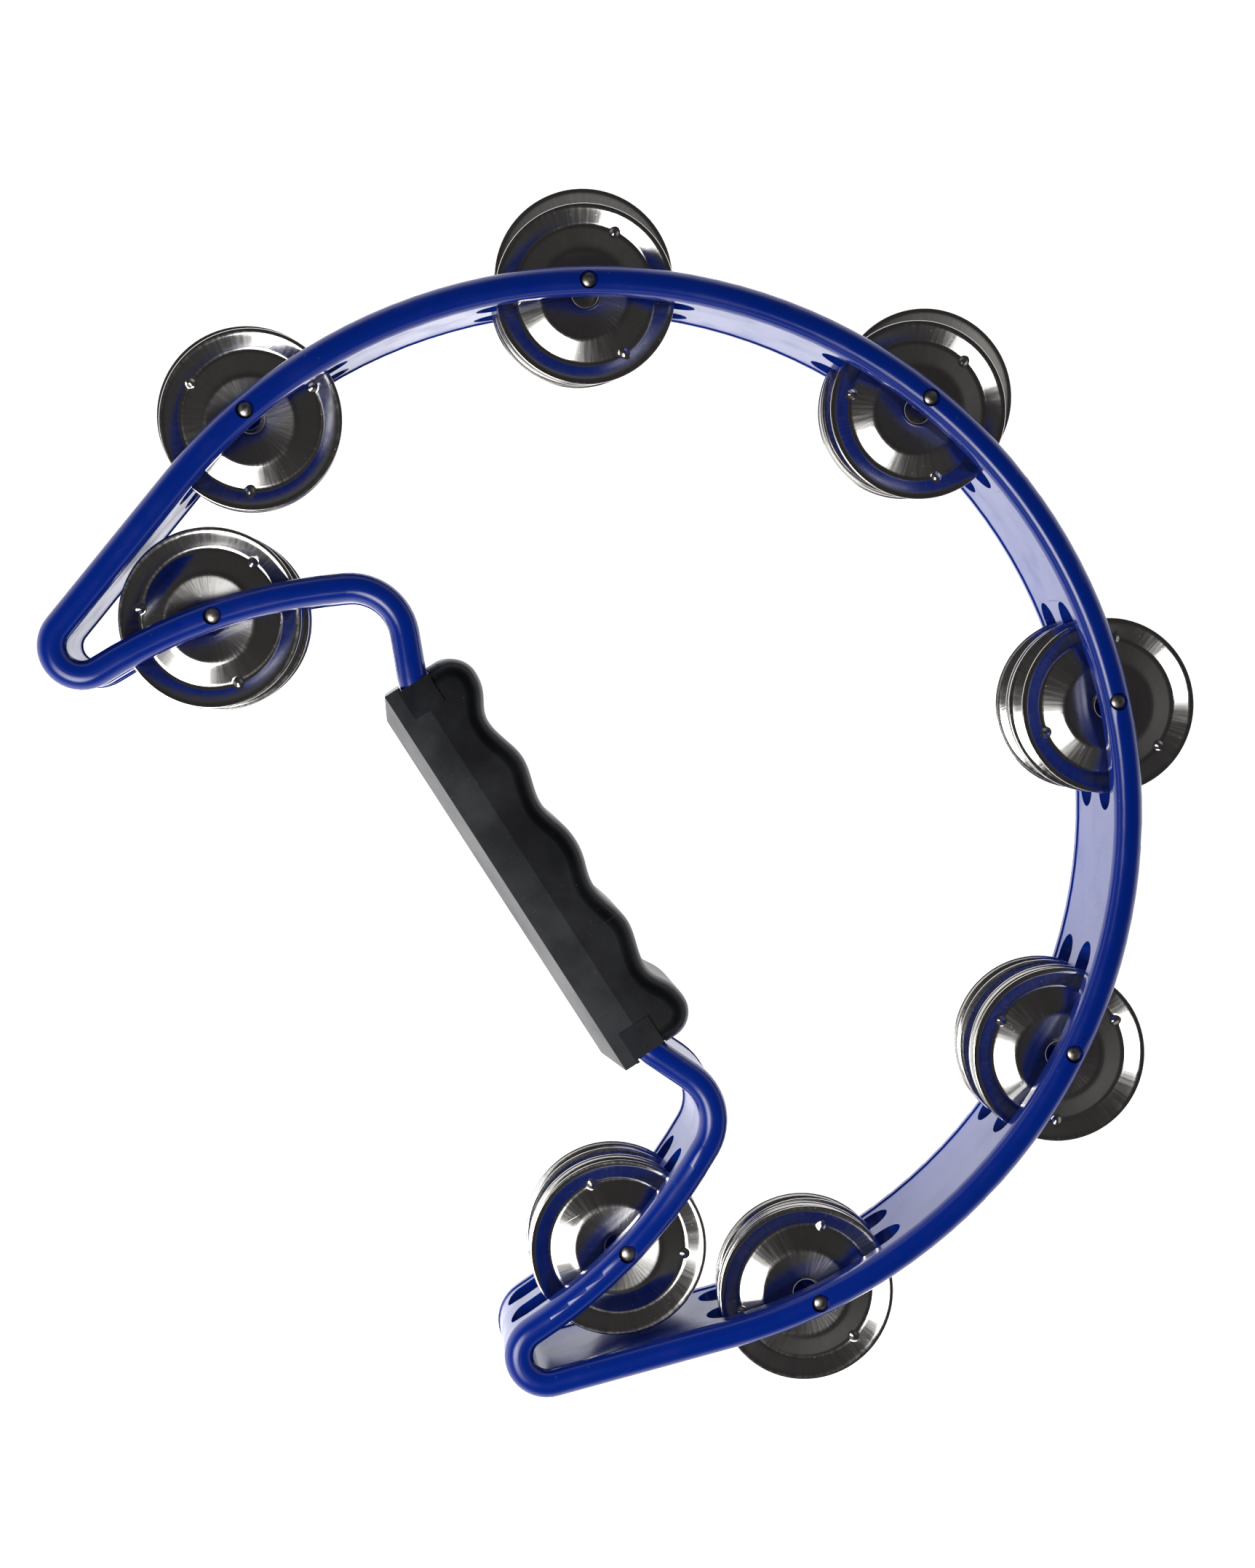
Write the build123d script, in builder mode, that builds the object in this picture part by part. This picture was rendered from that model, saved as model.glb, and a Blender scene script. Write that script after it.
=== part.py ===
"""Cutaway tambourine: a moulded crescent frame with two rows of jingles and a two-piece grip.

The frame is one closed loop of wall: a long outer arc, two rounded tips, two inner arms that
curve back from the tips, and a straight bar between the arms that the grip closes round.
It lies flat: +Z is up, +X runs along the grip and +Y points from the grip to the middle of the
arc. The origin is at the middle of the instrument's footprint, on the surface it lies on.
"""
import os
from math import acos, asin, atan2, cos, degrees, radians, sin, sqrt

from build123d import *

# ---- frame: plan of the wall's centre line -------------------------------------------------
ring_radius = 129.25
ring_centre = Vector(0, -26.6)
tip_radius = 7.0
tip_centre = Vector(101.9, -107.5)
bend_radius = 13.0
bend_centre = Vector(68.75, -53.9)
entry_radius = 10.0
entry_x = 50.2
seam_y = -46.8

# ---- frame: section of the wall ------------------------------------------------------------
depth = 42.0
bead_width = 7.0
bead_height = 4.6
bead_round = 3.2
wall_thickness = 6.4
bar_margin = 6.0

# ---- jingle slots and their pins -----------------------------------------------------------
station_pitch = 39.3
arm_station_angle = 13.3
row_offset = 8.5
slot_height = 10.4
slot_reach = 26.5
tip_slot_reach = 33.0
slot_cut = 9.0
arm_slot_cut = 4.5
shank_radius = 0.9
head_radius = 1.95
head_height = 1.2
head_round = 1.15
head_sink = 0.5
head_gap = 0.25
pin_floor = 2.0

# ---- jingles -------------------------------------------------------------------------------
jingle_radius = 21.5
jingle_hole = 3.45
jingle_sheet = 0.55
boss_radius = 10.8
boss_height = 2.4
boss_dish = 0.9
valley_radius = 16.9
lip_radius = 20.4
edge_rise = 2.2
press_round = 0.9
nub_radius = 0.85
nub_hollow = 0.55
nub_place = 16.6
floor_gap = 0.35
pair_gap = 1.1

# How far, and which way in degrees, each disc has settled off its pin's axis, station by
# station: six round the ring from its -X end, then the +X arm and the -X arm.
settled = {
    ("upper", "top"): (
        (1.8, -2), (2.1, -35), (2.4, -60), (1.2, -25),
        (2.0, -70), (1.9, -130), (1.6, -100), (1.2, -100),
    ),
    ("upper", "under"): (
        (0.3, -50), (2.4, 147), (2.4, 100), (2.0, -90),
        (1.8, -62), (1.7, -122), (1.5, -108), (1.2, -10),
    ),
    ("lower", "top"): (
        (1.0, 0), (0.6, -30), (1.1, -80), (1.2, -20),
        (1.9, -64), (1.5, -16), (1.6, -95), (1.0, -20),
    ),
    ("lower", "under"): (
        (0.8, -30), (0.8, -60), (0.9, -60), (1.5, -75),
        (1.7, -75), (1.3, -30), (1.4, -112), (1.2, 5),
    ),
}

# The way the nubs of the topmost disc of each station point; the discs below differ.
top_spin = (86, 2, 104, 21, 87, 14, 50, 110)
spin_step = 37

# ---- grip ----------------------------------------------------------------------------------
grip_length = 107.0
grip_recess = 0.4
palm_flat = 7.4
palm_fall = 0.4
palm_width = 10.2
palm_slope_height = 10.0
palm_end_cut = 5.3
finger_pitch = 23.4
finger_bump = 12.6
finger_valley = 10.3
finger_end_bump = 14.1
finger_end_radius = 6.7
finger_round = 4.4
notch_width = 8.0
notch_depth = 0.9
pad_half_width = 4.2
pad_length = 8.5
core_depth = 4.2
core_length = 18.0
core_height = 22.0
core_count = 4
peg_radius = 2.4
peg_spacing = 26.0
peg_reach = 4.0

BASE = (Align.CENTER, Align.CENTER, Align.MIN)
half_depth = depth / 2
grip_end = grip_length / 2
grip_top = depth - grip_recess
head_seat = depth - head_sink - head_height
peg_places = [(-peg_spacing, half_depth), (0, half_depth), (peg_spacing, half_depth)]
row_heights = {"lower": half_depth - row_offset, "upper": half_depth + row_offset}


# ---- plan of the loop ----------------------------------------------------------------------
def polar(centre, radius, angle):
    """Point at an angle, in degrees, on a circle in the plan."""
    return Vector(centre.X + radius * cos(radians(angle)), centre.Y + radius * sin(radians(angle)))


def heading(start, end):
    """Direction from one plan point to another, in degrees."""
    return degrees(atan2(end.Y - start.Y, end.X - start.X))


# The straight from the ring to the tip touches both circles on the same side.
centres_apart = (tip_centre - ring_centre).length
common_normal = degrees(acos((ring_radius - tip_radius) / centres_apart))
ring_end = heading(ring_centre, tip_centre) + common_normal

# The arm's arc leaves the tip parallel to +Y and runs into the bend without a corner.
arm_start = Vector(tip_centre.X - tip_radius, tip_centre.Y)
reach_x = bend_centre.X - arm_start.X
reach_y = bend_centre.Y - arm_start.Y
arm_radius = (bend_radius**2 - reach_x**2 - reach_y**2) / (2 * (reach_x + bend_radius))
arm_centre = Vector(arm_start.X - arm_radius, arm_start.Y)
arm_end = heading(arm_centre, bend_centre)

# A short straight crosses from the bend to the curve that lines the bar up with the grip.
entry_centre = Vector(entry_x, seam_y + entry_radius)
crossing = degrees(asin((bend_radius + entry_radius) / (bend_centre - entry_centre).length))
slope = heading(entry_centre, bend_centre) + crossing


def loop_wire():
    """Closed centre line of the wall: the +X half, then its mirror image."""
    with BuildLine() as line:
        ring = CenterArc(ring_centre, ring_radius, ring_end, 90 - ring_end)
        tip = CenterArc(tip_centre, tip_radius, 180, 180 + ring_end)
        Line(ring @ 0, tip @ 1)
        CenterArc(arm_centre, arm_radius, 0, arm_end)
        bend = CenterArc(bend_centre, bend_radius, arm_end, 90 + slope - arm_end)
        entry = CenterArc(entry_centre, entry_radius, -90, slope)
        Line(bend @ 1, entry @ 1)
        Line(entry @ 0, (0, seam_y))
        mirror(about=Plane.YZ)
    return line.wire()


def band(width):
    """Flat band of the given width that follows the loop."""
    with BuildSketch() as sketch:
        with BuildLine():
            add(loop_wire())
        make_face()
        offset(amount=width / 2)
        with BuildSketch(mode=Mode.PRIVATE) as inside:
            with BuildLine():
                add(loop_wire())
            make_face()
            offset(amount=-width / 2)
        add(inside.sketch, mode=Mode.SUBTRACT)
    return sketch.sketch


def station_points():
    """Where the eight pins stand: six round the ring from its -X end, then one on each arm."""
    points = []
    for step in range(6):
        angle = 90 + (2.5 - step) * station_pitch
        points.append((polar(ring_centre, ring_radius, angle), angle))
    arm_point = polar(arm_centre, arm_radius, arm_station_angle)
    points.append((arm_point, arm_station_angle))
    points.append((Vector(-arm_point.X, arm_point.Y), 180 - arm_station_angle))
    return points


stations = station_points()


# ---- frame ---------------------------------------------------------------------------------
def slot_plane(point, angle, height):
    """Plane across a slot: its normal points out from the wall, its x axis runs along the wall."""
    along = (-sin(radians(angle)), cos(radians(angle)), 0)
    outward = (cos(radians(angle)), sin(radians(angle)), 0)
    return Plane(origin=(point.X, point.Y, height), x_dir=along, z_dir=outward)


arm_slot_length = slot_reach + tip_slot_reach
arm_slot_turn = degrees((tip_slot_reach - slot_reach) / 2 / arm_radius)
arm_slot_angle = arm_station_angle - arm_slot_turn
arm_slot_point = polar(arm_centre, arm_radius, arm_slot_angle)
bar_reach = grip_end - notch_depth
wall_band = band(wall_thickness)
bead_band = band(bead_width)

with BuildPart() as frame:
    with BuildSketch():
        add(bead_band)
    extrude(amount=bead_height)
    with BuildSketch(Plane.XY.offset(depth - bead_height)):
        add(bead_band)
    extrude(amount=bead_height)
    levels = frame.edges().group_by(Axis.Z)
    fillet(levels[0] + levels[-1], bead_round)
    with BuildSketch(Plane.XY.offset(bead_height)):
        add(wall_band)
    extrude(amount=depth - 2 * bead_height)

    # Two rows of slots through the wall at each pin.
    for point, angle in stations[:6]:
        for height in row_heights.values():
            with BuildSketch(slot_plane(point, angle, height)):
                SlotOverall(2 * slot_reach, slot_height)
            extrude(amount=slot_cut, both=True, mode=Mode.SUBTRACT)

    # The arm slots reach further towards the tips and stop short of the wall across from them.
    for side in (1, -1):
        point = Vector(side * arm_slot_point.X, arm_slot_point.Y)
        angle = 90 - side * (90 - arm_slot_angle)
        for height in row_heights.values():
            with BuildSketch(slot_plane(point, angle, height)):
                SlotOverall(arm_slot_length, slot_height)
            extrude(amount=arm_slot_cut, mode=Mode.SUBTRACT)
            with BuildSketch(slot_plane(point, angle, height)):
                SlotOverall(arm_slot_length, slot_height)
            extrude(amount=-slot_cut, mode=Mode.SUBTRACT)

    # Pin holes: blind from above, with a seat for the head in the top bead.
    for point, angle in stations:
        with Locations((point.X, point.Y, pin_floor)):
            Cylinder(shank_radius, depth - pin_floor, align=BASE, mode=Mode.SUBTRACT)
        with Locations((point.X, point.Y, head_seat)):
            Cylinder(head_radius + head_gap, depth - head_seat, align=BASE, mode=Mode.SUBTRACT)

    # Between the grip's ends the wall loses its beads and becomes a lower bar.
    for height in (0, depth - bar_margin):
        with Locations((0, seam_y, height)):
            Box(2 * bar_reach, 3 * wall_thickness, bar_margin, align=BASE, mode=Mode.SUBTRACT)
    with BuildSketch(Plane.XZ.offset(-seam_y)):
        with Locations(*peg_places):
            Circle(peg_radius)
    extrude(amount=wall_thickness, both=True, mode=Mode.SUBTRACT)


# ---- pins ----------------------------------------------------------------------------------
def pin(point):
    """Steel nail that carries both rows of a station, with its domed head in the top bead."""
    with BuildPart() as nail:
        with Locations((point.X, point.Y, pin_floor)):
            Cylinder(shank_radius, head_seat - pin_floor, align=BASE)
        with Locations((point.X, point.Y, head_seat)):
            Cylinder(head_radius, head_height, align=BASE)
        fillet(nail.edges().group_by(Axis.Z)[-1], head_round)
    return nail.part


# ---- jingles -------------------------------------------------------------------------------
def jingle(place, height, spin, boss_up):
    """Pressed disc: dished boss, valley, flare and lip on the boss side, three nubs.

    The height is that of the underside of the valley when the boss is up, and of its top
    when the boss is down.
    """
    way = 1 if boss_up else -1
    middle = way * jingle_sheet / 2
    with BuildPart() as disc:
        with BuildSketch(Plane.XZ):
            with BuildLine():
                FilletPolyline(
                    (jingle_hole, middle + way * (boss_height - boss_dish)),
                    (boss_radius, middle + way * boss_height),
                    (valley_radius, middle),
                    (lip_radius, middle + way * edge_rise),
                    (jingle_radius, middle + way * edge_rise),
                    radius=press_round,
                )
            trace(line_width=jingle_sheet)
        revolve(axis=Axis.Z)
        low, high = (0, 90) if boss_up else (-90, 0)
        with PolarLocations(nub_place, 3, start_angle=spin):
            with Locations((0, 0, middle)):
                Sphere(nub_radius, arc_size1=low, arc_size2=high)
            Sphere(nub_hollow, mode=Mode.SUBTRACT)
    return disc.part.moved(Location((place.X, place.Y, height)))


# ---- grip ----------------------------------------------------------------------------------
def grip_cut():
    """What both halves lose: the bar, the notches that the full wall enters, and nothing else."""
    with BuildPart() as cut:
        with BuildSketch(Plane.XY.offset(bar_margin)):
            add(wall_band)
        extrude(amount=depth - 2 * bar_margin)
        with Locations((0, seam_y, half_depth)):
            Box(2 * bar_reach, 3 * wall_thickness, depth, mode=Mode.INTERSECT)
        notch_x = grip_end - notch_depth / 2
        with Locations((-notch_x, entry_y, half_depth), (notch_x, entry_y, half_depth)):
            Box(notch_depth, notch_width, 2 * depth)
    return cut.part


def pads(side):
    """Low pads at the grip's ends, flush with the beads of the wall, on one side of the seam."""
    with BuildPart() as pad:
        pad_x = grip_end - pad_length / 2
        pad_y = seam_y + side * pad_half_width / 2
        with Locations((-pad_x, pad_y, half_depth), (pad_x, pad_y, half_depth)):
            Box(pad_length, pad_half_width, depth)
    return pad.part


def cores(side):
    """Pockets that keep the moulding's walls even, hidden behind the bar."""
    with BuildPart() as pocket:
        with BuildSketch(Plane.XZ.offset(-seam_y)):
            with Locations((0, half_depth)):
                with GridLocations(peg_spacing, 1, core_count, 1):
                    Rectangle(core_length, core_height)
        extrude(amount=-side * (wall_thickness / 2 + core_depth))
    return pocket.part


entry_y = seam_y + entry_radius - sqrt(entry_radius**2 - (grip_end - entry_x) ** 2)
bar_cut = grip_cut()

with BuildPart() as grip_palm_half:
    with BuildSketch(Plane.YZ.offset(-grip_end)):
        with BuildLine():
            Polyline(
                (seam_y, grip_recess),
                (seam_y - palm_flat, grip_recess + palm_fall),
                (seam_y - palm_width, grip_recess + palm_slope_height),
                (seam_y - palm_width, grip_top - palm_slope_height),
                (seam_y - palm_flat, grip_top - palm_fall),
                (seam_y, grip_top),
                close=True,
            )
        make_face()
    extrude(amount=grip_length)
    with BuildSketch():
        for side in (1, -1):
            with BuildLine():
                Polyline(
                    (side * grip_end, seam_y - palm_flat),
                    (side * (grip_end - palm_end_cut), seam_y - palm_width),
                    (side * grip_end, seam_y - palm_width),
                    close=True,
                )
            make_face()
    extrude(amount=depth, mode=Mode.SUBTRACT)
    add(pads(-1))
    add(cores(-1), mode=Mode.SUBTRACT)
    add(bar_cut, mode=Mode.SUBTRACT)
    with BuildSketch(Plane.XZ.offset(wall_thickness / 2 - seam_y)):
        with Locations(*peg_places):
            Circle(peg_radius)
    extrude(amount=-(wall_thickness + peg_reach))

with BuildPart() as grip_finger_half:
    with BuildSketch(Plane.XY.offset(grip_recess)):
        with BuildLine() as outline:
            finger_points = []
            for step in range(5):
                reach = finger_valley if step % 2 else finger_bump
                if step == 4:
                    reach = finger_end_bump
                finger_points.append((step * finger_pitch / 2, seam_y + reach))
            fingers = Spline(*finger_points, tangents=[(1, 0)] * len(finger_points))
            corner_y = seam_y + finger_end_bump - finger_end_radius
            corner = RadiusArc(fingers @ 1, (grip_end, corner_y), finger_end_radius)
            Line(corner @ 1, (grip_end, seam_y))
            Line((grip_end, seam_y), (0, seam_y))
            mirror(about=Plane.YZ)
        make_face()
    extrude(amount=grip_top - grip_recess)
    levels = grip_finger_half.edges().group_by(Axis.Z)
    rims = levels[0] + levels[-1]
    fillet(rims.filter_by(lambda edge: edge.center().Y > seam_y + 0.1), finger_round)
    add(pads(1))
    add(cores(1), mode=Mode.SUBTRACT)
    add(bar_cut, mode=Mode.SUBTRACT)
    with BuildSketch(Plane.XZ.offset(-seam_y - wall_thickness / 2)):
        with Locations(*peg_places):
            Circle(peg_radius)
    extrude(amount=-peg_reach, mode=Mode.SUBTRACT)


# ---- finished pieces -----------------------------------------------------------------------
finished = {
    "frame": frame.part,
    "grip_palm_half": grip_palm_half.part,
    "grip_finger_half": grip_finger_half.part,
}

for number, (point, _) in enumerate(stations, start=1):
    finished[f"pin_{number}"] = pin(point)
    for row, row_height in row_heights.items():
        valley_top = row_height - slot_height / 2 + floor_gap + boss_height + jingle_sheet
        for order, level in (("under", valley_top), ("top", valley_top + pair_gap)):
            seat = polar(point, *settled[row, order][number - 1])
            below = 2 * (row == "lower") + (order == "under")
            spin = top_spin[number - 1] + below * spin_step
            finished[f"jingle_{number}_{row}_{order}"] = jingle(seat, level, spin, order == "top")

os.makedirs("parts", exist_ok=True)
for name, piece in finished.items():
    piece.label = name
    export_step(piece, f"parts/{name}.step")
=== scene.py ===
"""Looks of the cutaway tambourine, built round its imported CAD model, in metres."""

from math import cos, pi, radians, sin

import bpy
import numpy as np
from mathutils import Matrix, Vector


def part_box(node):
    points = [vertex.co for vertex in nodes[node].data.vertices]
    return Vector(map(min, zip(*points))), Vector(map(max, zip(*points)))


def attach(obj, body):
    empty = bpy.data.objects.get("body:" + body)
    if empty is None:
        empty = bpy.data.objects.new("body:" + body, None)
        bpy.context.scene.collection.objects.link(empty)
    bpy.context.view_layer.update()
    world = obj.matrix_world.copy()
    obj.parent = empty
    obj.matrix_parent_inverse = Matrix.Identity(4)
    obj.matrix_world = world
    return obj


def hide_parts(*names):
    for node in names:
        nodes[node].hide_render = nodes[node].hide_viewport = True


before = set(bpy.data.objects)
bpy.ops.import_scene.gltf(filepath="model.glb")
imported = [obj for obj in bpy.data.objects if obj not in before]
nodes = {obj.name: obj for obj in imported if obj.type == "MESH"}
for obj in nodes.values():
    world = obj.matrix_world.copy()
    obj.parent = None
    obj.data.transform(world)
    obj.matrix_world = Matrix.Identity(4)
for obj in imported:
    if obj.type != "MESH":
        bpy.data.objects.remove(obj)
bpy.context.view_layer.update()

MM = 0.001
rim_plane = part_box("frame")[1].z


# ---- camera: high over the instrument, tilted a little off the vertical ---------------------
CAMERA_PLACE = Vector((-62.7, -48.2, 667.0)) * MM
CAMERA_TARGET = Vector((-4.76, -16.71, 42.0)) * MM
CAMERA_RIGHT = Vector((0.5356, 0.8394, 0.0919))
CAMERA_LENS = 60.24
SENSOR_WIDTH = 36.0


def add_camera():
    """Camera that looks from its place to its target with its own right-hand direction."""
    data = bpy.data.cameras.new("camera")
    data.lens = CAMERA_LENS
    data.sensor_width = SENSOR_WIDTH
    data.clip_start = 0.01
    camera = bpy.data.objects.new("camera", data)
    bpy.context.scene.collection.objects.link(camera)
    back = (CAMERA_PLACE - CAMERA_TARGET).normalized()
    right = (CAMERA_RIGHT - back * CAMERA_RIGHT.dot(back)).normalized()
    up = back.cross(right)
    turn = Matrix((right, up, back)).transposed().to_4x4()
    camera.matrix_world = Matrix.Translation(CAMERA_PLACE) @ turn
    bpy.context.scene.camera = camera


# ---- node materials -------------------------------------------------------------------------
class Shader:
    """A new node material: its Principled shader, and short ways to add and join nodes."""

    def __init__(self, name):
        self.material = bpy.data.materials.new(name)
        self.material.use_nodes = True
        self.tree = self.material.node_tree
        self.tree.nodes.clear()
        output = self.tree.nodes.new("ShaderNodeOutputMaterial")
        self.surface = self.tree.nodes.new("ShaderNodeBsdfPrincipled")
        self.tree.links.new(self.surface.outputs[0], output.inputs[0])
        self.place = self.tree.nodes.new("ShaderNodeTexCoord").outputs["Object"]
        self.centre_place = self.place

    def shift_each_piece(self):
        """Move the pattern by the piece's index, so that no two pieces carry the same marks."""
        info = self.tree.nodes.new("ShaderNodeObjectInfo")
        shift = self.tree.nodes.new("ShaderNodeVectorMath")
        shift.operation = "MULTIPLY_ADD"
        self.tree.links.new(info.outputs["Object Index"], shift.inputs[0])
        shift.inputs[1].default_value = (0.013, 0.017, 0.011)
        self.tree.links.new(self.place, shift.inputs[2])
        self.place = shift.outputs[0]

    def join(self, value, socket):
        """Set a socket to a number or colour, or link it to another node's output."""
        if isinstance(value, bpy.types.NodeSocket):
            self.tree.links.new(value, socket)
        else:
            socket.default_value = value

    def set(self, **values):
        """Set or link the Principled shader's sockets, written with _ for a space."""
        for name, value in values.items():
            self.join(value, self.surface.inputs[name.replace("_", " ").title()])

    def math(self, operation, first, second=0.0):
        node = self.tree.nodes.new("ShaderNodeMath")
        node.operation = operation
        self.join(first, node.inputs[0])
        self.join(second, node.inputs[1])
        return node.outputs[0]

    def ramp(self, value, low, high, start=0.0, end=1.0):
        """Map low..high smoothly to start..end, clamped."""
        node = self.tree.nodes.new("ShaderNodeMapRange")
        node.interpolation_type = "SMOOTHSTEP"
        self.join(value, node.inputs["Value"])
        self.join(low, node.inputs["From Min"])
        self.join(high, node.inputs["From Max"])
        self.join(start, node.inputs["To Min"])
        self.join(end, node.inputs["To Max"])
        return node.outputs["Result"]

    def mix(self, factor, first, second):
        """Blend of two colours."""
        node = self.tree.nodes.new("ShaderNodeMix")
        node.data_type = "RGBA"
        self.join(factor, node.inputs["Factor"])
        self.join(first, node.inputs[6])
        self.join(second, node.inputs[7])
        return node.outputs[2]

    def scaled(self, factors, turn=(0.0, 0.0, 0.0)):
        """Object coordinates scaled along each axis, in cycles per metre."""
        node = self.tree.nodes.new("ShaderNodeMapping")
        node.inputs["Scale"].default_value = factors
        node.inputs["Rotation"].default_value = turn
        self.tree.links.new(self.place, node.inputs["Vector"])
        return node.outputs[0]

    def noise(self, vector, scale=1.0, detail=2.0, roughness=0.5):
        node = self.tree.nodes.new("ShaderNodeTexNoise")
        self.tree.links.new(vector, node.inputs["Vector"])
        node.inputs["Scale"].default_value = scale
        node.inputs["Detail"].default_value = detail
        node.inputs["Roughness"].default_value = roughness
        return node.outputs["Fac"]

    def specks(self, scale, size, rarity):
        """Small round specks: 1 in a speck, 0 outside. A higher rarity leaves fewer."""
        cells = self.tree.nodes.new("ShaderNodeTexVoronoi")
        self.tree.links.new(self.place, cells.inputs["Vector"])
        cells.inputs["Scale"].default_value = scale
        dot = self.ramp(cells.outputs["Distance"], size, size * 0.5)
        split = self.tree.nodes.new("ShaderNodeSeparateColor")
        self.tree.links.new(cells.outputs["Color"], split.inputs[0])
        chosen = self.math("GREATER_THAN", split.outputs[0], rarity)
        return self.math("MULTIPLY", dot, chosen)

    def scratches(self, density, angle, rarity):
        """Fine straight scratches at an angle in the plan, as thin crests of stretched noise."""
        stretched = self.scaled((density, density * 0.02, density * 0.02), (0, 0, angle))
        crest = self.noise(stretched, 1.0, 1.0)
        line = self.ramp(crest, rarity, rarity + 0.05)
        patches = self.ramp(self.noise(self.scaled((60, 60, 60)), 1.0, 1.0), 0.5, 0.62)
        return self.math("MULTIPLY", line, patches)

    def bump(self, height, distance, strength=1.0, below=None):
        """Normal bumped by a height of 0..1 times a distance in metres."""
        node = self.tree.nodes.new("ShaderNodeBump")
        node.inputs["Strength"].default_value = strength
        node.inputs["Distance"].default_value = distance
        self.tree.links.new(height, node.inputs["Height"])
        if below is not None:
            self.tree.links.new(below, node.inputs["Normal"])
        return node.outputs[0]


def frame_plastic():
    """Glossy royal-blue moulding: faint flow marks, dust, rubbed spots and hair scratches."""
    look = Shader("frame_plastic")
    clouds = look.noise(look.scaled((14, 14, 14)), 1.0, 3.0)
    tint = look.mix(clouds, (0.0, 0.018, 0.235, 1), (0.0002, 0.023, 0.28, 1))
    dust = look.specks(420, 0.16, 0.90)
    dark_specks = look.specks(230, 0.09, 0.93)
    tint = look.mix(look.math("MULTIPLY", dust, 0.35), tint, (0.06, 0.10, 0.32, 1))
    tint = look.mix(look.math("MULTIPLY", dark_specks, 0.8), tint, (0.004, 0.005, 0.02, 1))
    marks = look.math("ADD", look.scratches(900, 0.7, 0.74), look.scratches(700, -0.5, 0.75))
    rubbed = look.ramp(look.noise(look.scaled((90, 90, 90)), 1.0, 4.0), 0.4, 0.75, 0.17, 0.27)
    roughness = look.math("ADD", rubbed, look.math("MULTIPLY", marks, 0.15))
    peel = look.noise(look.scaled((260, 260, 260)), 1.0, 2.0)
    normal = look.bump(peel, 0.00001, 0.4)
    normal = look.bump(marks, 0.00001, 0.5, below=normal)
    look.set(base_color=tint, roughness=roughness, normal=normal)
    look.surface.inputs["IOR"].default_value = 1.5
    return look.material


def grip_plastic(name, dark, light, base_roughness):
    """Satin black moulding with a fine texture, handling marks, dust and scratches."""
    look = Shader(name)
    wear = look.noise(look.scaled((55, 55, 55)), 1.0, 5.0, 0.6)
    tint = look.mix(look.ramp(wear, 0.35, 0.7), dark, light)
    dust = look.specks(650, 0.13, 0.82)
    tint = look.mix(look.math("MULTIPLY", dust, 0.22), tint, (0.20, 0.20, 0.22, 1))
    marks = look.math("ADD", look.scratches(800, 1.3, 0.73), look.scratches(650, 0.2, 0.74))
    tint = look.mix(look.math("MULTIPLY", marks, 0.12), tint, (0.12, 0.12, 0.13, 1))
    roughness = look.ramp(wear, 0.3, 0.75, base_roughness - 0.06, base_roughness + 0.08)
    grain = look.noise(look.scaled((2600, 2600, 2600)), 1.0, 2.0)
    normal = look.bump(grain, 0.00003, 0.35)
    normal = look.bump(marks, 0.00001, 0.6, below=normal)
    look.set(base_color=tint, roughness=roughness, normal=normal)
    look.surface.inputs["IOR"].default_value = 1.48
    return look.material


def jingle_metal():
    """Bright plated steel, turned marks on the boss, radial draw lines, specks and scratches."""
    look = Shader("jingle_metal")
    look.shift_each_piece()
    axes = look.tree.nodes.new("ShaderNodeSeparateXYZ")
    look.tree.links.new(look.centre_place, axes.inputs[0])
    x, y = axes.outputs[0], axes.outputs[1]
    squares = look.math("ADD", look.math("MULTIPLY", x, x), look.math("MULTIPLY", y, y))
    radius = look.math("SQRT", squares)
    unit_x, unit_y = look.math("DIVIDE", x, radius), look.math("DIVIDE", y, radius)
    polar = look.tree.nodes.new("ShaderNodeCombineXYZ")
    look.tree.links.new(look.math("MULTIPLY", unit_x, 26.0), polar.inputs[0])
    look.tree.links.new(look.math("MULTIPLY", unit_y, 26.0), polar.inputs[1])
    look.tree.links.new(look.math("MULTIPLY", radius, 120.0), polar.inputs[2])
    rays = look.noise(polar.outputs[0], 1.0, 3.0)
    rings_at = look.tree.nodes.new("ShaderNodeCombineXYZ")
    look.tree.links.new(look.math("MULTIPLY", unit_x, 0.8), rings_at.inputs[0])
    look.tree.links.new(look.math("MULTIPLY", unit_y, 0.8), rings_at.inputs[1])
    look.tree.links.new(look.math("MULTIPLY", radius, 5200.0), rings_at.inputs[2])
    rings = look.noise(rings_at.outputs[0], 1.0, 2.0)
    stains = look.noise(look.scaled((130, 130, 130)), 1.0, 4.0)
    tint = look.mix(stains, (0.60, 0.585, 0.56, 1), (0.74, 0.725, 0.70, 1))
    specks = look.specks(900, 0.16, 0.86)
    tint = look.mix(look.math("MULTIPLY", specks, 0.5), tint, (0.30, 0.28, 0.26, 1))
    marks = look.math("ADD", look.scratches(1500, 0.4, 0.71), look.scratches(1200, 1.9, 0.72))
    boss = look.ramp(radius, 0.0106, 0.0098)
    roughness = look.ramp(rays, 0.3, 0.7, 0.13, 0.19)
    roughness = look.math("ADD", roughness, look.math("MULTIPLY", boss, 0.05))
    roughness = look.math("ADD", roughness, look.math("MULTIPLY", specks, 0.2))
    lines = look.math("ADD", look.math("MULTIPLY", rays, 0.7), look.math("MULTIPLY", rings, 0.5))
    normal = look.bump(lines, 0.000004, 0.5)
    normal = look.bump(marks, 0.00001, 0.5, below=normal)
    look.set(base_color=tint, roughness=roughness, normal=normal, metallic=1.0)
    look.surface.inputs["Anisotropic"].default_value = 0.5
    tangent = look.tree.nodes.new("ShaderNodeTangent")
    tangent.direction_type = "RADIAL"
    tangent.axis = "Z"
    look.tree.links.new(tangent.outputs[0], look.surface.inputs["Tangent"])
    return look.material


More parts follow.
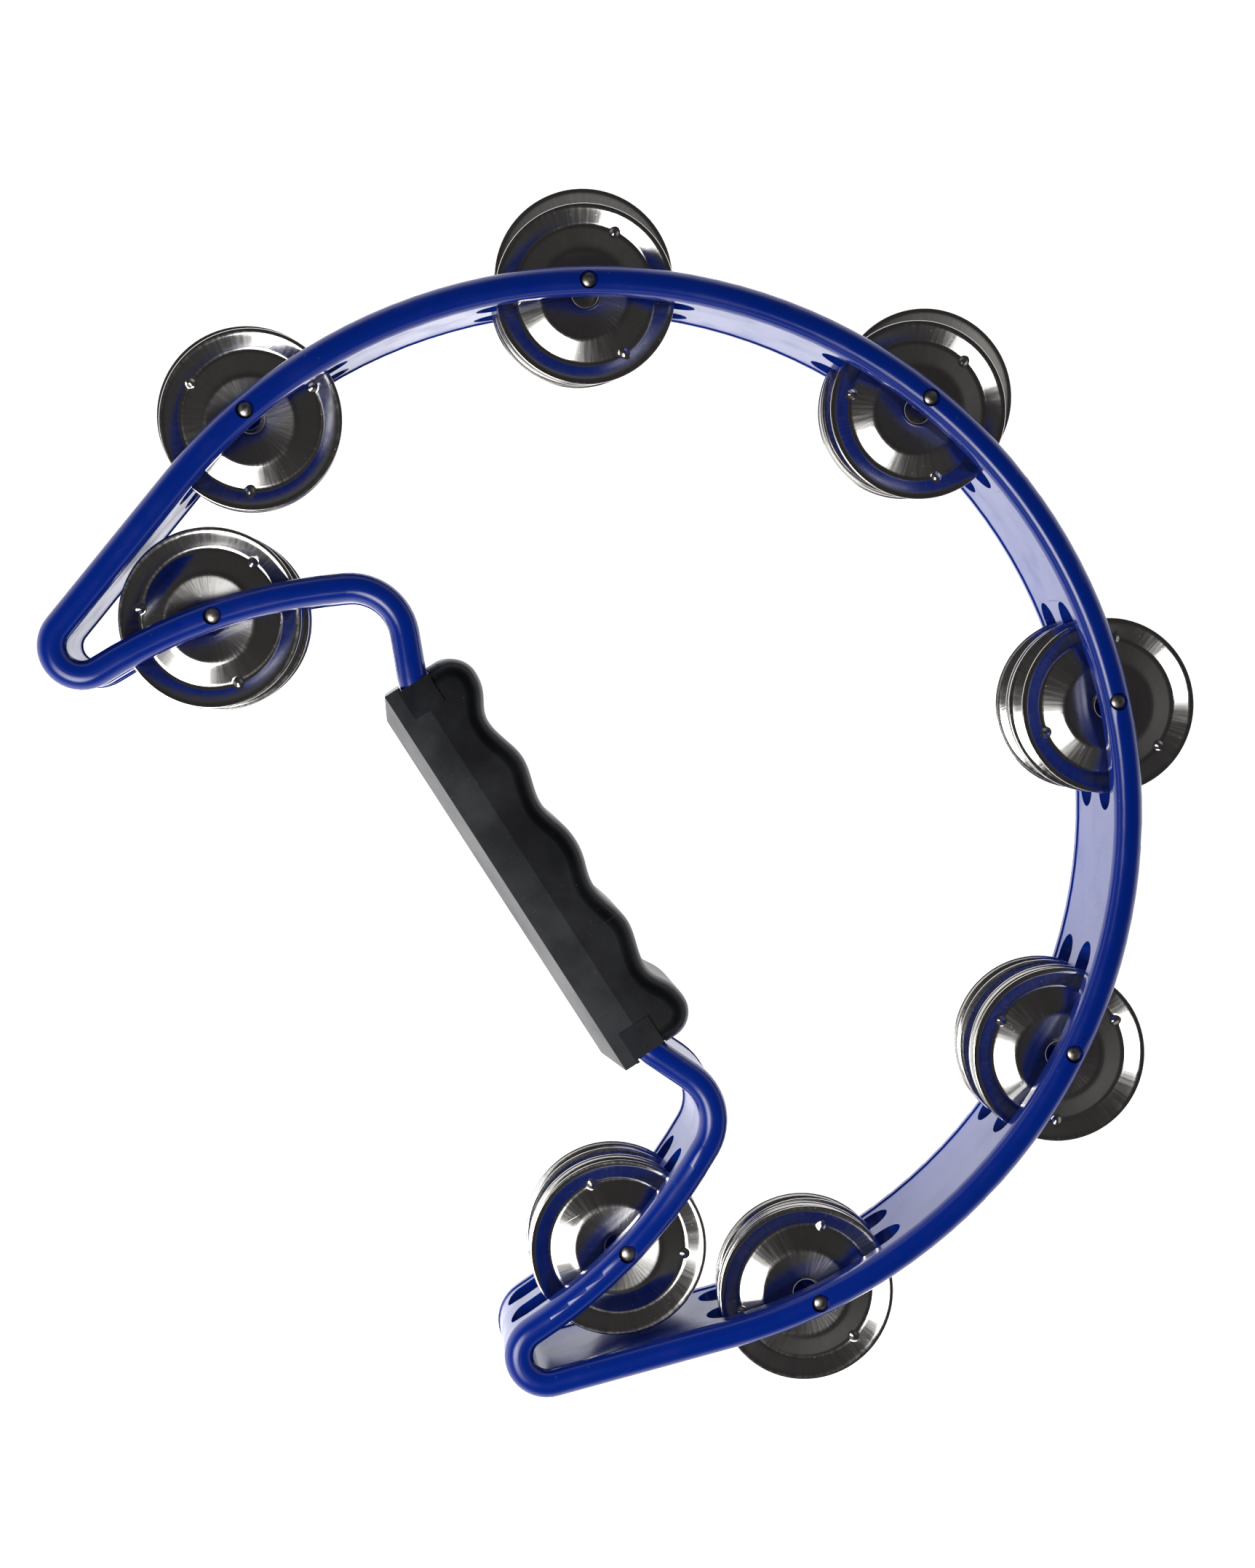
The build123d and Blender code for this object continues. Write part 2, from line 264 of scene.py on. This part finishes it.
def pin_steel():
    """Plain steel of a nail head: dull, a little scaled and pitted."""
    look = Shader("pin_steel")
    look.shift_each_piece()
    scale = look.noise(look.scaled((900, 900, 900)), 1.0, 4.0)
    tint = look.mix(scale, (0.30, 0.27, 0.24, 1), (0.56, 0.53, 0.49, 1))
    roughness = look.ramp(scale, 0.3, 0.7, 0.26, 0.42)
    normal = look.bump(scale, 0.00002, 0.6)
    look.set(base_color=tint, roughness=roughness, normal=normal, metallic=1.0)
    return look.material


def floor_paper():
    """Plain white ground, faintly mottled, that glows white as an overexposed backdrop does."""
    look = Shader("floor_paper")
    mottle = look.noise(look.scaled((8, 8, 8)), 1.0, 3.0)
    tint = look.mix(mottle, (0.87, 0.87, 0.875, 1), (0.89, 0.89, 0.89, 1))
    look.set(base_color=tint, roughness=0.85)
    look.surface.inputs["Emission Color"].default_value = (1, 1, 1, 1)
    look.surface.inputs["Emission Strength"].default_value = 1.1
    return look.material


def assign(obj, material):
    obj.data.materials.clear()
    obj.data.materials.append(material)


# ---- jingles --------------------------------------------------------------------------------
SHEET = 0.55 * MM
# Middle line of the pressed sheet, from the hole to the rim: radius, height and how far back
# each corner is rounded, in millimetres.
PRESSING = [
    (3.45, 1.5, 0),
    (10.8, 2.4, 0.8),
    (16.7, 0, 0.9),
    (20.8, 2.2, 0.5),
    (21.5, 2.2, 0),
]
CORNER_STEPS = 5
# Longest and shortest steps along that line, in millimetres.
LONG_RUN, SHORT_RUN = 0.8, 0.22
NUB_PLACE = 16.7 * MM
NUB_RADIUS = 1.4 * MM
NUB_HEIGHT = 0.75 * MM
NUB_ANGLES = 16
PLAIN_ANGLES = 26
NUB_HALF_TURN = 5.0
EDGE_STEPS = 4


def rounded_line(corners, steps):
    """Points along a line whose inner corners are rounded by curves of the given radii."""
    points = [Vector(corners[0][:2])]
    for before, corner, after in zip(corners, corners[1:], corners[2:]):
        tip = Vector(corner[:2])
        back = (Vector(before[:2]) - tip).normalized()
        on = (Vector(after[:2]) - tip).normalized()
        start, end = tip + back * corner[2], tip + on * corner[2]
        for step in range(steps + 1):
            share = step / steps
            points.append(start.lerp(tip, share).lerp(tip.lerp(end, share), share))
    points.append(Vector(corners[-1][:2]))
    return points


def spread(points):
    """The same line with its runs divided, finely where the nubs are and coarsely elsewhere."""
    fine = [points[0]]
    for start, end in zip(points, points[1:]):
        steps = max(1, round((end - start).length / SHORT_RUN))
        for step in range(1, steps + 1):
            point = start.lerp(end, step / steps)
            near = abs(point.x * MM - NUB_PLACE) < 1.2 * NUB_RADIUS
            if step == steps or near or (point - fine[-1]).length > LONG_RUN:
                fine.append(point)
    return fine


def sheet_section():
    """Closed section of the pressed sheet as (radius, height), in metres, with round edges."""
    middle = spread(rounded_line(PRESSING, CORNER_STEPS))
    middle = [point * MM for point in middle]
    normals = []
    for index in range(len(middle)):
        along = middle[min(index + 1, len(middle) - 1)] - middle[max(index - 1, 0)]
        normals.append(Vector((-along.y, along.x)).normalized())
    half = SHEET / 2
    top = [point + normal * half for point, normal in zip(middle, normals)]
    bottom = [point - normal * half for point, normal in zip(middle, normals)]
    ends = []
    for point, normal, way in ((middle[-1], normals[-1], -1), (middle[0], normals[0], 1)):
        out = Vector((normal.y, -normal.x)) if way < 0 else Vector((-normal.y, normal.x))
        ring = []
        for step in range(1, EDGE_STEPS):
            angle = pi * step / EDGE_STEPS
            ring.append(point + normal * half * cos(angle) * -way + out * half * sin(angle))
        ends.append(ring)
    return top + ends[0] + bottom[::-1] + ends[1]


def turn_angles():
    """Angles round the disc, close together at the three nubs."""
    third = 360.0 / 3
    near = np.linspace(-NUB_HALF_TURN, NUB_HALF_TURN, NUB_ANGLES, endpoint=False)
    far = np.linspace(NUB_HALF_TURN, third - NUB_HALF_TURN, PLAIN_ANGLES, endpoint=False)
    one = np.concatenate((near, far))
    return np.radians(np.concatenate([one + third * turn for turn in range(3)]))


def jingle_mesh(seed, turn_by, boss_up):
    """Mesh of one jingle: three nubs pressed out on the boss side, sheet slightly bent."""
    random = np.random.default_rng(seed)
    section = np.array([tuple(point) for point in sheet_section()])
    angles = turn_angles()
    rings, around = len(section), len(angles)
    radius = np.repeat(section[None, :, 0], around, axis=0)
    height = np.repeat(section[None, :, 1], around, axis=0)
    turn = np.repeat(angles[:, None], rings, axis=1)
    rise = NUB_HEIGHT * random.uniform(0.85, 1.1, 3)
    for third in range(3):
        centre = 2 * pi * third / 3
        gap = np.sqrt(
            radius**2 + NUB_PLACE**2 - 2 * radius * NUB_PLACE * np.cos(turn - centre)
        )
        height = height + rise[third] * np.cos(pi / 2 * np.clip(gap / NUB_RADIUS, 0, 1)) ** 1.5
    bend = random.uniform(0.02, 0.07) * MM * (radius / 0.022) ** 2
    height = height + bend * np.cos(2 * turn + random.uniform(0, 2 * pi))
    turn, height = (turn + turn_by, height) if boss_up else (turn_by - turn, -height)
    verts = np.stack((radius * np.cos(turn), radius * np.sin(turn), height), axis=-1)
    faces = []
    for a in range(around):
        b = (a + 1) % around
        for r in range(rings):
            s = (r + 1) % rings
            faces.append((a * rings + r, a * rings + s, b * rings + s, b * rings + r))
    mesh = bpy.data.meshes.new("jingle")
    mesh.from_pydata(verts.reshape(-1, 3).tolist(), [], faces)
    mesh.polygons.foreach_set("use_smooth", [True] * len(faces))
    mesh.update()
    return mesh


PIN_SHANK = 0.9 * MM
PIN_DOME = 1.0 * MM
PIN_HEAD = 1.2 * MM
PIN_POINT = 0.9 * MM
PIN_DOME_STEPS = 10
PIN_AROUND = 40


def lathe(outline, around):
    """Closed mesh turned about Z from an outline that starts and ends on the axis."""
    verts, faces = [(0, 0, outline[0][1])], []
    inner = outline[1:-1]
    for radius, height in inner:
        for step in range(around):
            angle = 2 * pi * step / around
            verts.append((radius * cos(angle), radius * sin(angle), height))
    last = len(verts)
    verts.append((0, 0, outline[-1][1]))
    for step in range(around):
        after = (step + 1) % around
        faces.append((0, 1 + after, 1 + step))
        for ring in range(len(inner) - 1):
            low, high = 1 + ring * around, 1 + (ring + 1) * around
            faces.append((low + step, low + after, high + after, high + step))
        top = 1 + (len(inner) - 1) * around
        faces.append((top + step, top + after, last))
    mesh = bpy.data.meshes.new("turned")
    mesh.from_pydata(verts, [], faces)
    mesh.polygons.foreach_set("use_smooth", [True] * len(faces))
    mesh.update()
    return mesh


def add_pin(number, material):
    """Nail in the place of its CAD node: point, shank, underside of the head and a domed head."""
    node = f"pin_{number}"
    low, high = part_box(node)
    head = (high.x - low.x) / 2
    seat = high.z - PIN_HEAD
    shoulder = high.z - PIN_DOME
    outline = [(0, low.z), (0.5 * PIN_SHANK, low.z), (PIN_SHANK, low.z + PIN_POINT)]
    outline += [(PIN_SHANK, low.z + 1.1 * MM), (PIN_SHANK, seat - 0.15 * MM)]
    outline += [(PIN_SHANK + 0.1 * MM, seat), (head - 0.12 * MM, seat), (head, seat + 0.1 * MM)]
    for step in range(PIN_DOME_STEPS):
        angle = pi / 2 * step / PIN_DOME_STEPS
        outline.append((head * cos(angle), shoulder + PIN_DOME * sin(angle)))
    outline.append((0, high.z))
    piece = bpy.data.objects.new(f"{node}_nail", lathe(outline, PIN_AROUND))
    bpy.context.scene.collection.objects.link(piece)
    piece.location = ((low.x + high.x) / 2, (low.y + high.y) / 2, 0)
    piece.pass_index = number
    assign(piece, material)
    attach(piece, "frame")
    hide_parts(node)


TOP_SPIN = (86, 2, 104, 21, 87, 14, 50, 110)
SPIN_STEP = 37
STATIONS = range(1, 9)


def add_jingle(number, row, order, material):
    """One jingle in the place of its CAD node, on its own body."""
    node = f"jingle_{number}_{row}_{order}"
    low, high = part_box(node)
    middle = (low + high) / 2
    below = 2 * (row == "lower") + (order == "under")
    spin = radians(TOP_SPIN[number - 1] + below * SPIN_STEP)
    seed = 100 * number + below
    mesh = jingle_mesh(seed, spin, order == "top")
    piece = bpy.data.objects.new(f"{node}_pressed", mesh)
    bpy.context.scene.collection.objects.link(piece)
    reach = max(height for _, height in sheet_section())
    lift = high.z - reach if order == "top" else low.z + reach
    piece.location = (middle.x, middle.y, lift)
    piece.pass_index = seed
    assign(piece, material)
    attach(piece, node)
    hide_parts(node)


# ---- light and ground -----------------------------------------------------------------------
FLOOR_HALF = 4.0
FLOOR_DROP = 0.0002


def add_floor():
    mesh = bpy.data.meshes.new("floor")
    half = FLOOR_HALF
    corners = [(-half, -half, 0), (half, -half, 0), (half, half, 0), (-half, half, 0)]
    mesh.from_pydata(corners, [], [(0, 1, 2, 3)])
    floor = bpy.data.objects.new("floor", mesh)
    bpy.context.scene.collection.objects.link(floor)
    floor.location.z = -FLOOR_DROP
    assign(floor, floor_paper())


# A softbox fades as u(1 - u) v(1 - v) towards its edges, whose mean is 1/36.
FADE_LEVEL = 36.0


def add_softbox(name, azimuth, elevation, distance, width, height, watts):
    """Soft-edged rectangular light that faces the instrument. Azimuth 0 is +X."""
    data = bpy.data.lights.new(name, "AREA")
    data.shape = "RECTANGLE"
    data.size, data.size_y = width, height
    data.energy = watts
    data.use_nodes = True
    tree = data.node_tree
    fade = tree.nodes.new("ShaderNodeVectorMath")
    fade.operation = "MULTIPLY"
    across = tree.nodes.new("ShaderNodeNewGeometry").outputs["Parametric"]
    rest = tree.nodes.new("ShaderNodeVectorMath")
    rest.operation = "SUBTRACT"
    rest.inputs[0].default_value = (1, 1, 1)
    tree.links.new(across, rest.inputs[1])
    tree.links.new(across, fade.inputs[0])
    tree.links.new(rest.outputs[0], fade.inputs[1])
    sides = tree.nodes.new("ShaderNodeSeparateXYZ")
    tree.links.new(fade.outputs[0], sides.inputs[0])
    product = tree.nodes.new("ShaderNodeMath")
    product.operation = "MULTIPLY"
    tree.links.new(sides.outputs[0], product.inputs[0])
    tree.links.new(sides.outputs[1], product.inputs[1])
    level = tree.nodes.new("ShaderNodeMath")
    level.operation = "MULTIPLY"
    level.inputs[1].default_value = FADE_LEVEL
    tree.links.new(product.outputs[0], level.inputs[0])
    tree.links.new(level.outputs[0], tree.nodes["Emission"].inputs["Strength"])
    lamp = bpy.data.objects.new(name, data)
    bpy.context.scene.collection.objects.link(lamp)
    a, e = radians(azimuth), radians(elevation)
    away = Vector((cos(a) * cos(e), sin(a) * cos(e), sin(e)))
    lamp.location = away * distance + Vector((0, 0, rim_plane))
    lamp.rotation_mode = "QUATERNION"
    lamp.rotation_quaternion = away.to_track_quat("Z", "Y")


# Colour at the horizon, straight up, and the level at heights (sines of elevation) between.
HORIZON = (1.15, 1.15, 1.15, 1)
OVERHEAD = (0.026, 0.024, 0.025, 1)
SKY_STOPS = ((0.18, 0.70), (0.38, 0.14), (0.60, 0.045))


def add_world():
    """Room light: white at the horizon, dim overhead where the camera and ceiling are."""
    world = bpy.data.worlds.new("studio")
    world.use_nodes = True
    bpy.context.scene.world = world
    tree = world.node_tree
    tree.nodes.clear()
    output = tree.nodes.new("ShaderNodeOutputWorld")
    sky = tree.nodes.new("ShaderNodeBackground")
    sky.inputs["Strength"].default_value = 1.0
    place = tree.nodes.new("ShaderNodeTexCoord")
    axes = tree.nodes.new("ShaderNodeSeparateXYZ")
    tree.links.new(place.outputs["Generated"], axes.inputs[0])
    ramp = tree.nodes.new("ShaderNodeValToRGB")
    tree.links.new(axes.outputs[2], ramp.inputs[0])
    stops = ramp.color_ramp.elements
    stops[0].position, stops[0].color = 0.0, HORIZON
    stops[1].position, stops[1].color = 1.0, OVERHEAD
    for position, level in SKY_STOPS:
        stop = stops.new(position)
        stop.color = (level, level * 0.985, level * 0.97, 1)
    tree.links.new(ramp.outputs[0], sky.inputs[0])
    tree.links.new(sky.outputs[0], output.inputs[0])


# ---- the scene ------------------------------------------------------------------------------
add_camera()
add_world()
add_floor()
add_softbox(
    "key", azimuth=-81, elevation=53, distance=0.56, width=0.40, height=0.34, watts=2.4
)

blue = frame_plastic()
# Both grip halves are the same black plastic. The palm copy gets a lighter tint as a painted
# highlight, for its facet catching the key light, and the finger copy gets a darker tint as
# painted shade, for its facets facing away from that light.
palm_painted_lit_black = grip_plastic(
    "grip_palm", dark=(0.0045, 0.0055, 0.009, 1), light=(0.008, 0.0095, 0.015, 1),
    base_roughness=0.32,
)
finger_painted_shaded_black = grip_plastic(
    "grip_finger", dark=(0.0015, 0.0019, 0.0032, 1), light=(0.003, 0.0038, 0.0062, 1),
    base_roughness=0.36,
)
nickel = jingle_metal()
steel = pin_steel()

assign(nodes["frame"], blue)
assign(nodes["grip_palm_half"], palm_painted_lit_black)
assign(nodes["grip_finger_half"], finger_painted_shaded_black)
for number in STATIONS:
    add_pin(number, steel)
    for row in ("lower", "upper"):
        for order in ("under", "top"):
            add_jingle(number, row, order, nickel)

bpy.context.scene.view_settings.view_transform = "Standard"
